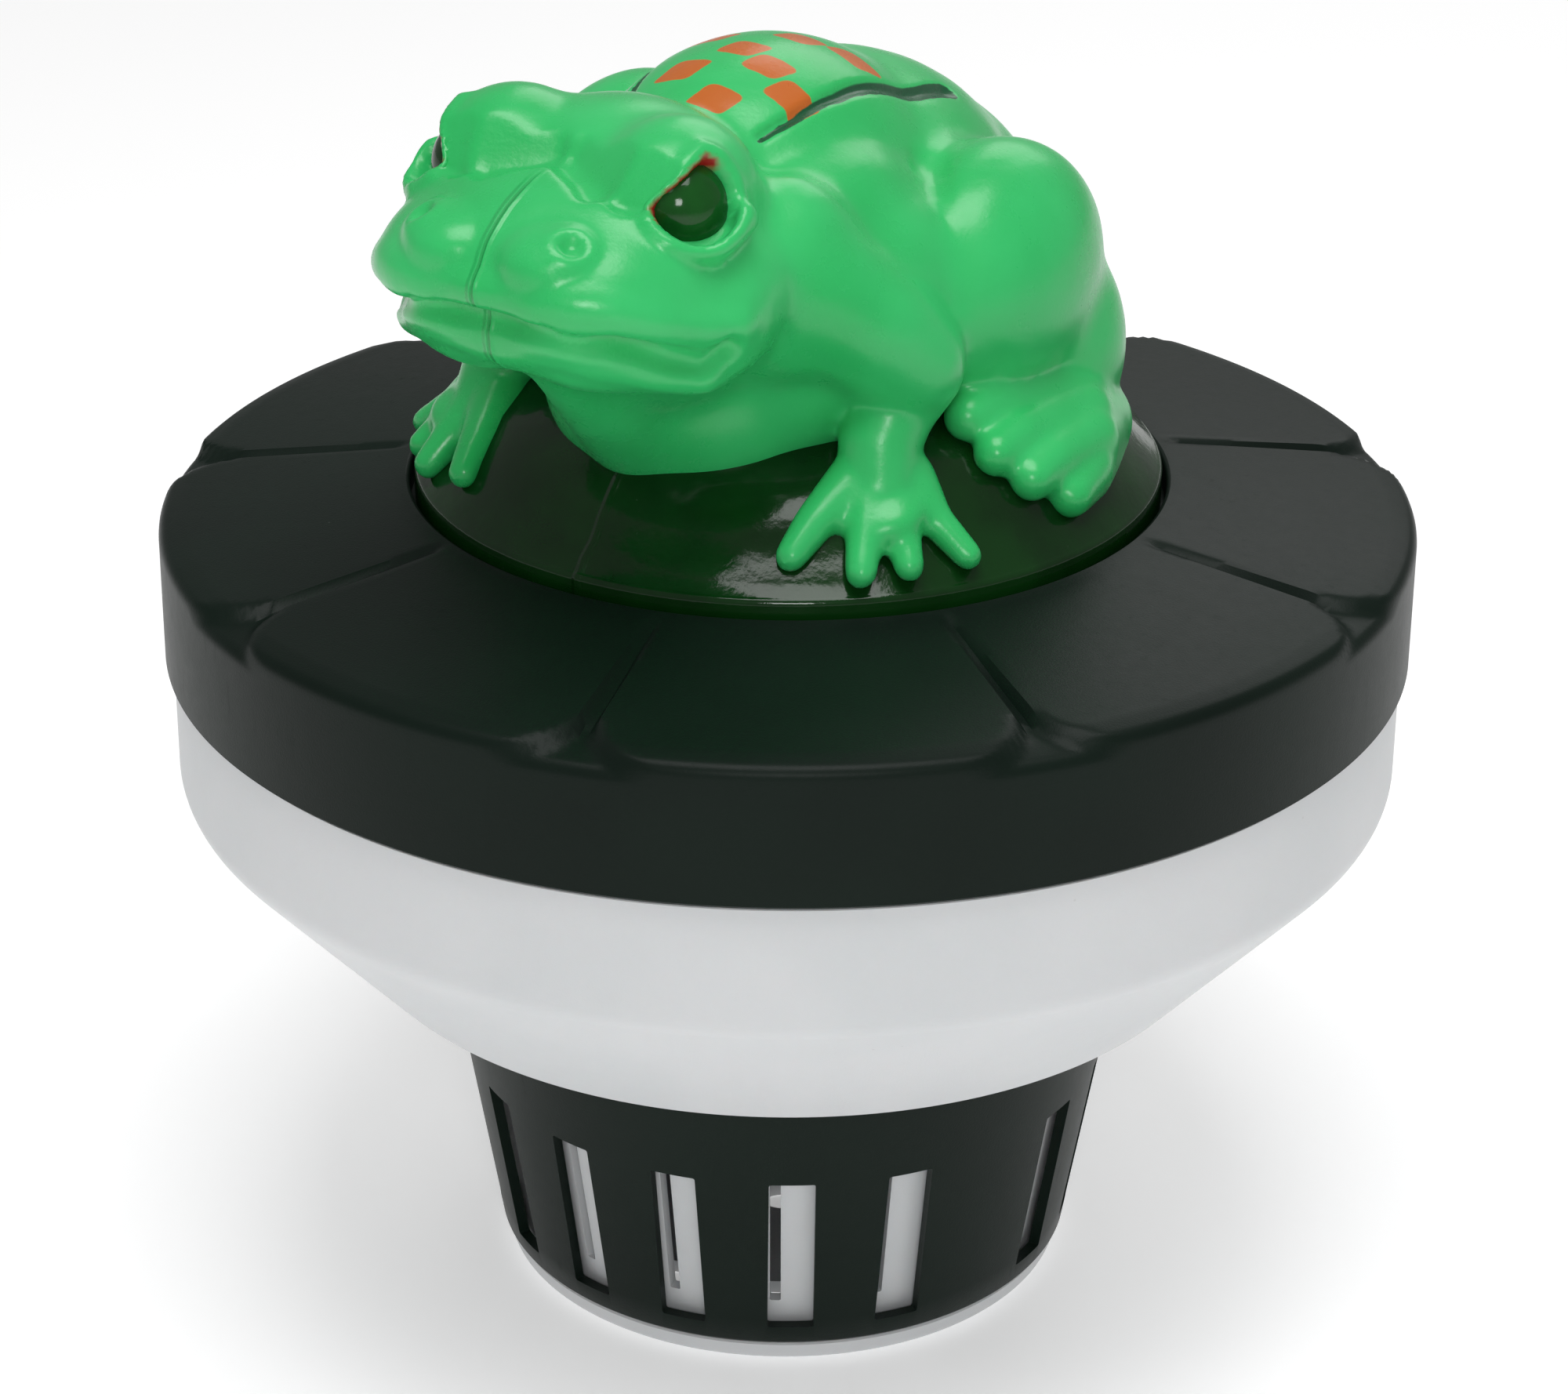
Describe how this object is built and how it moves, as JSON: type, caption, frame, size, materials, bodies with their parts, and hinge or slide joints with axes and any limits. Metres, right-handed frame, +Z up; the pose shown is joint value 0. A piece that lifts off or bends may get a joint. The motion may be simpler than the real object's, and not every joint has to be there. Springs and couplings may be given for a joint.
{
  "type": "floating chlorine dispenser",
  "caption": "Round pool float with a slotted tablet basket and turning flow collar below, closed by a twist-lock cap shaped as a frog on a dome.",
  "frame": {"origin": "centre of the bottom cap's underside, on the axis", "axes": "+Z up along the float's axis, -Y the way the frog faces, +X the frog's left"},
  "size_m": [0.2032, 0.2032, 0.2161],
  "materials": {
    "white_plastic": "satin white polypropylene",
    "dark_green_plastic": "satin very dark green",
    "frog_green": "smooth light green blow moulding",
    "seal_rubber": "black rubber"
  },
  "bodies": {
    "float": {"float_hull": "white_plastic", "hull_seal": "seal_rubber", "lid_ring": "dark_green_plastic", "tablet_basket": "white_plastic", "bottom_cap": "white_plastic"},
    "collar": {"flow_collar": "dark_green_plastic"},
    "seal": {"cap_seal": "seal_rubber"},
    "cap": {"cap_plug": "dark_green_plastic", "frog_cap": "frog_green"}
  },
  "joints": [
    {"name": "collar_turn", "type": "hinge", "parent": "float", "child": "collar", "pos_m": [0, 0, 0.033], "axis": [0, 0, 1], "range_deg": [-5, 10]},
    {"name": "cap_lift", "type": "slide", "parent": "float", "child": "seal", "axis": [0, 0, 1], "range_m": [0, 0.12]},
    {"name": "cap_twist", "type": "hinge", "parent": "seal", "child": "cap", "pos_m": [0, 0, 0.136], "axis": [0, 0, 1], "range_deg": [-35, 0]}
  ]
}
